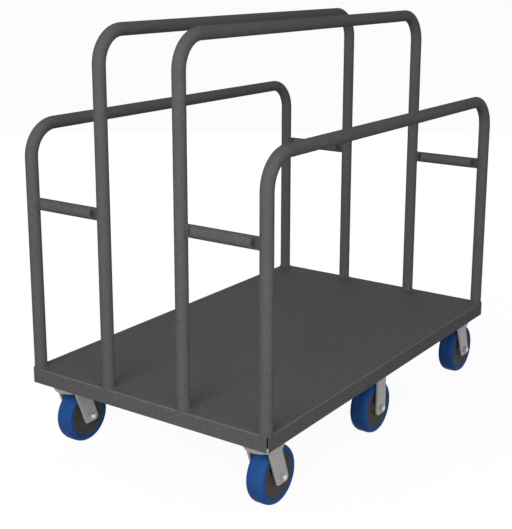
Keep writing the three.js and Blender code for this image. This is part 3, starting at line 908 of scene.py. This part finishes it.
def plate_bolts(label, middle):
    """Washers, nuts and bolt ends below a caster plate's four slots."""
    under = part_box("cross_channel_middle")[0][2] - SEAT_GAP - PLATE_GAUGE
    radius = sizes().bolt / 2
    nut_half, nut_bore = 7.1 * MM, radius * NUT_BORE_SHARE
    nut_top, nut_bottom = under - 1.6 * MM, under - 10 * MM
    washer_radius, washer_bore = radius * 2.15, radius * 1.06
    end_reach, end_inside = 4.0 * MM, 1 * MM
    parts = []
    for x, y in slot_places():
        place = np.array([middle[0] + x, middle[1] + y, 0.0])
        parts.append(washer(washer_radius, washer_bore, nut_top, under, place))
        parts.append(hex_ring(nut_half, nut_bore, nut_bottom, nut_top, place))
        parts.append(flipped(bolt_end(radius, end_reach), (1.0, -1.0, -1.0),
                             place + (0.0, 0.0, nut_bottom + end_inside)))
    new_piece(f"plate_bolts_{label}", joined(*parts), "steel", "cart")


def rigid_bracket(label):
    """A caster plate with two upright legs that flare into it."""
    size = sizes()
    name = f"rigid_bracket_{label}"
    hub = centre(f"wheel_tread_{label}")
    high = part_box(name)[1][2]
    plate_bottom = high - PLATE_GAUGE
    foot = hub[2] - size.leg_drop
    half, flare, rise, into_plate = 23.5 * MM, 38.0 * MM, 24.0 * MM, 0.3 * MM
    waist, top = plate_bottom - rise, plate_bottom + into_plate
    corners = [(-half, foot), (half, foot), (half, waist), (flare, top), (-flare, top),
               (-half, waist)]
    radii = np.array([11.0, 11.0, 18.0, 1.0, 1.0, 18.0]) * MM
    place = (hub[0], hub[1], 0.0)
    legs = joined(*fork_legs(corners, radii, place))
    plate = slotted_plate(name, high, plate_bottom, place)
    united(f"bracket_{label}", plate, legs, "zinc", "cart", [name])


def wheel(label):
    """A moulded tread round a dished core. Both are profiles turned about y, and each of the
    tread's shoulders is a quarter ellipse from its flat middle to its side."""
    size = sizes()
    place = centre(f"wheel_tread_{label}")
    low, high = box_of(f"wheel_tread_{label}")
    body = f"wheel_{label}"
    radius = place[2]
    half = (high[1] - low[1]) / 2
    bore = size.core_radius + WHEEL_GAP
    land = size.tread_land / 2
    ease = 2.0 * MM
    angle = np.linspace(0, np.pi / 2, 14)
    shoulder = np.stack([radius - size.tread_shoulder * (1 - np.cos(angle)),
                         land + (half - land) * np.sin(angle)], 1)
    right = np.concatenate([shoulder, [(bore + ease, half), (bore, half - ease)]])
    tread = turned(np.concatenate([right[::-1] * (1, -1), right]), place, "y", sides=120)
    new_piece(f"tread_{label}", tread, "tread", body, [f"wheel_tread_{label}"])
    rim_inner = size.core_radius - size.core_rim
    hole = size.sleeve_radius + WHEEL_GAP
    boss_half, dish, fillet = 27.5 * MM, 3 * MM, 1.5 * MM
    side = [(size.core_radius, size.core_half), (rim_inner, size.core_half),
            (rim_inner - dish, size.web_half + fillet), (size.boss_radius + fillet, size.web_half),
            (size.boss_radius, boss_half), (hole, boss_half)]
    radii = [0.8, 1.5, 3.0, 3.0, 1.5, 0.8]
    other = [(r, -y) for r, y in side]
    profile = rounded(side + other[::-1], np.array(radii + radii[::-1]) * MM, steps=4)
    core = turned(profile, place, "y", sides=96)
    new_piece(f"core_{label}", core, "core", body, [f"wheel_core_{label}"])


def axle(label, body):
    """The axle bolt with a shallow recess in its head, its threaded end and its nut."""
    place = centre(f"wheel_tread_{label}")
    radius = sizes().axle / 2
    face = sizes().leg_outer
    low, high = (corner[1] - place[1] for corner in box_of(f"axle_bolt_{label}"))
    nut_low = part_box(f"axle_nut_{label}")[0][1] - place[1]
    sides, shank_edge, head_bore = 32, 0.1 * MM, radius * 0.5
    recess_radius, recess_depth, recess_rim_depth = radius * 0.8, 0.8 * MM, 0.6 * MM
    end_inside = 0.4 * MM
    shank = rounded([(0.0, -face), (radius, -face), (radius, face), (0.0, face)], shank_edge,
                    steps=1)
    shank[:, 0] = np.maximum(shank[:, 0], 0.0)
    head = hex_ring(NUT_HALF, head_bore, face + SEAT_GAP, high, place, "y")
    recess = turned([(0.0, high - recess_depth), (recess_radius, high - recess_rim_depth),
                     (recess_radius, face), (0.0, face)], place, "y", sides, closed=False)
    bolt = joined(turned(shank, place, "y", sides), head, recess)
    new_piece(f"axle_{label}_bolt", bolt, "steel", body, [f"axle_bolt_{label}"])
    tip = flipped(bolt_end(radius, nut_low - low - end_inside, "y"), (1.0, -1.0, 1.0),
                  place + (0.0, nut_low, 0.0))
    new_piece(f"axle_{label}_end", tip, "steel", body)
    nut = hex_ring(NUT_HALF, radius * NUT_BORE_SHARE, nut_low, -face - SEAT_GAP, place, "y")
    new_piece(f"axle_{label}_nut", nut, "zinc", body, [f"axle_nut_{label}"])


def keep_nodes():
    """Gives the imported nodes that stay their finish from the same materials."""
    kept = {"top_plate": "zinc", "ball_race": "steel", "axle_sleeve": "steel"}
    for name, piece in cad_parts.items():
        for start, finish in kept.items():
            if name.startswith(start):
                piece.data.materials.clear()
                piece.data.materials.append(material(finish))


# Camera, floor and light

def look(spec):
    """The camera's place and turn. Its axes come from yaw and pitch, turned by roll about its own
    line of sight."""
    forward = np.array([math.cos(spec.yaw) * math.cos(spec.pitch),
                        math.sin(spec.yaw) * math.cos(spec.pitch), -math.sin(spec.pitch)])
    right = np.array([math.sin(spec.yaw), -math.cos(spec.yaw), 0.0])
    up = np.cross(right, forward)
    rolled_right = math.cos(spec.roll) * right + math.sin(spec.roll) * up
    rolled_up = -math.sin(spec.roll) * right + math.cos(spec.roll) * up
    turn = Matrix(np.stack([rolled_right, rolled_up, -forward], 1).tolist()).to_4x4()
    return Matrix.Translation(Vector(spec.eye)) @ turn


def add_camera():
    """The camera of the stage's settings."""
    spec = stage()
    camera = bpy.data.cameras.new("camera")
    camera.lens = spec.lens
    camera.sensor_width = 36.0
    camera.shift_x = spec.shift_x
    camera.shift_y = spec.shift_y
    camera.clip_end = 100.0
    holder = placed("camera", camera)
    holder.matrix_world = look(spec)
    bpy.context.scene.camera = holder


def add_lamp(name, watts):
    """A square area lamp that faces the lamps' target."""
    edge, place, in_gloss = LAMPS[name]
    lamp = bpy.data.lights.new(name, "AREA")
    lamp.energy = watts
    lamp.size = edge
    holder = placed(name, lamp)
    holder.location = place
    towards = Vector(LAMP_TARGET) - Vector(place)
    holder.rotation_euler = towards.to_track_quat("-Z", "Y").to_euler()
    holder.visible_glossy = in_gloss


def seen_directly(tree):
    """1 where the camera looks, straight or by way of gloss or glass, and 0 where light is
    gathered."""
    path = node(tree, "ShaderNodeLightPath").outputs
    shown = maths(tree, "MAXIMUM", path["Is Camera Ray"], path["Is Glossy Ray"])
    return maths(tree, "MAXIMUM", shown, path["Is Transmission Ray"])


def add_floor():
    """A pale floor. To the camera it is mostly its own white, so that only soft shadows show."""
    work = bmesh.new()
    bmesh.ops.create_grid(work, x_segments=1, y_segments=1, size=40.0)
    mesh = bpy.data.meshes.new("floor")
    work.to_mesh(mesh)
    work.free()
    made = bpy.data.materials.new("floor")
    made.use_nodes = True
    tree = made.node_tree
    seen = seen_directly(tree)
    lit_tone, seen_tone, seen_glow = 0.22, 0.06, 0.95
    set_inputs(tree, tree.nodes["Principled BSDF"], {
        "Base Color": mapped(tree, seen, lit_tone, seen_tone),
        "Emission Strength": mapped(tree, seen, 0.0, seen_glow),
        "Emission Color": WHITE,
        "Roughness": 1.0,
        "Specular IOR Level": 0.0})
    mesh.materials.append(made)
    placed("floor", mesh)


def add_world(ambient):
    """Even light all round, with plain white where the camera, gloss or glass sees it."""
    world = bpy.data.worlds.new("studio")
    bpy.context.scene.world = world
    world.use_nodes = True
    tree = world.node_tree
    level = mapped(tree, seen_directly(tree), ambient, 1.0)
    set_inputs(tree, tree.nodes["Background"], {"Color": WHITE, "Strength": level})


# Operators

class CART_OT_finishes(bpy.types.Operator):
    """Make the cart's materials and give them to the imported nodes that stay"""
    bl_idname = "cart.finishes"
    bl_label = "Finishes"

    def execute(self, context):
        make_finishes()
        keep_nodes()
        return {"FINISHED"}


class CART_OT_deck(bpy.types.Operator):
    """Make the folded deck and its cross channels"""
    bl_idname = "cart.deck"
    bl_label = "Deck"

    def execute(self, context):
        deck_pan()
        for place in ("near", "middle", "far"):
            cross_channel(place)
        return {"FINISHED"}


class CART_OT_frames(bpy.types.Operator):
    """Make the four bent tube frames"""
    bl_idname = "cart.frames"
    bl_label = "Tube frames"

    def execute(self, context):
        for side in SIDES:
            for name in (f"outer_frame_{side}", f"inner_frame_{side}"):
                tube_frame(name)
                foot_weld(name)
        return {"FINISHED"}


class CART_OT_braces(bpy.types.Operator):
    """Make the braces with their pressed ends"""
    bl_idname = "cart.braces"
    bl_label = "Braces"

    def execute(self, context):
        for label in CORNERS:
            brace(label)
        return {"FINISHED"}


class CART_OT_swivels(bpy.types.Operator):
    """Make the swivel forks and their kingpins"""
    bl_idname = "cart.swivels"
    bl_label = "Swivel casters"

    def execute(self, context):
        for label in CORNERS:
            swivel_fork(label)
            kingpin(label)
        return {"FINISHED"}


class CART_OT_rigids(bpy.types.Operator):
    """Make the brackets of the rigid casters"""
    bl_idname = "cart.rigids"
    bl_label = "Rigid casters"

    def execute(self, context):
        for label in MIDDLES:
            rigid_bracket(label)
        return {"FINISHED"}


class CART_OT_wheels(bpy.types.Operator):
    """Make the wheels and their axles"""
    bl_idname = "cart.wheels"
    bl_label = "Wheels"

    def execute(self, context):
        for label in CORNERS + MIDDLES:
            wheel(label)
            axle(label, f"swivel_{label}" if label in CORNERS else "cart")
        return {"FINISHED"}


class CART_OT_fasteners(bpy.types.Operator):
    """Make the nuts, washers and bolt ends under the caster plates"""
    bl_idname = "cart.fasteners"
    bl_label = "Fasteners"

    def execute(self, context):
        for label in CORNERS:
            plate_bolts(label, centre(f"kingpin_{label}"))
        for label in MIDDLES:
            plate_bolts(label, centre(f"wheel_tread_{label}"))
        return {"FINISHED"}


class CART_OT_stage(bpy.types.Operator):
    """Set up the camera, the floor and the studio light"""
    bl_idname = "cart.stage"
    bl_label = "Stage"

    def execute(self, context):
        spec = stage()
        add_camera()
        add_floor()
        add_world(spec.ambient)
        for name in LAMPS:
            add_lamp(name, getattr(spec, name))
        context.scene.view_settings.view_transform = "Standard"
        return {"FINISHED"}


class CART_PT_panel(bpy.types.Panel):
    """Buttons that build the cart"""
    bl_idname = "CART_PT_panel"
    bl_label = "Panel Cart"
    bl_space_type = "VIEW_3D"
    bl_region_type = "UI"
    bl_category = "Panel Cart"

    def draw(self, context):
        for operator in OPERATORS:
            self.layout.operator(operator.bl_idname)


OPERATORS = (CART_OT_finishes, CART_OT_deck, CART_OT_frames, CART_OT_braces, CART_OT_swivels,
             CART_OT_rigids, CART_OT_wheels, CART_OT_fasteners, CART_OT_stage)
GROUPS = {"cart_sizes": CartSizes, "cart_finish": CartFinish, "cart_stage": CartStage}


def register():
    for group in GROUPS.values():
        bpy.utils.register_class(group)
    for name, group in GROUPS.items():
        setattr(bpy.types.Scene, name, PointerProperty(type=group))
    for operator in OPERATORS + (CART_PT_panel,):
        bpy.utils.register_class(operator)


def unregister():
    for operator in reversed(OPERATORS + (CART_PT_panel,)):
        bpy.utils.unregister_class(operator)
    for name, group in GROUPS.items():
        delattr(bpy.types.Scene, name)
        bpy.utils.unregister_class(group)


def main():
    """Builds every piece in order."""
    register()
    for operator in (bpy.ops.cart.finishes, bpy.ops.cart.deck, bpy.ops.cart.frames,
                     bpy.ops.cart.braces, bpy.ops.cart.swivels, bpy.ops.cart.rigids,
                     bpy.ops.cart.wheels, bpy.ops.cart.fasteners, bpy.ops.cart.stage):
        operator()


if __name__ == "__main__":
    main()
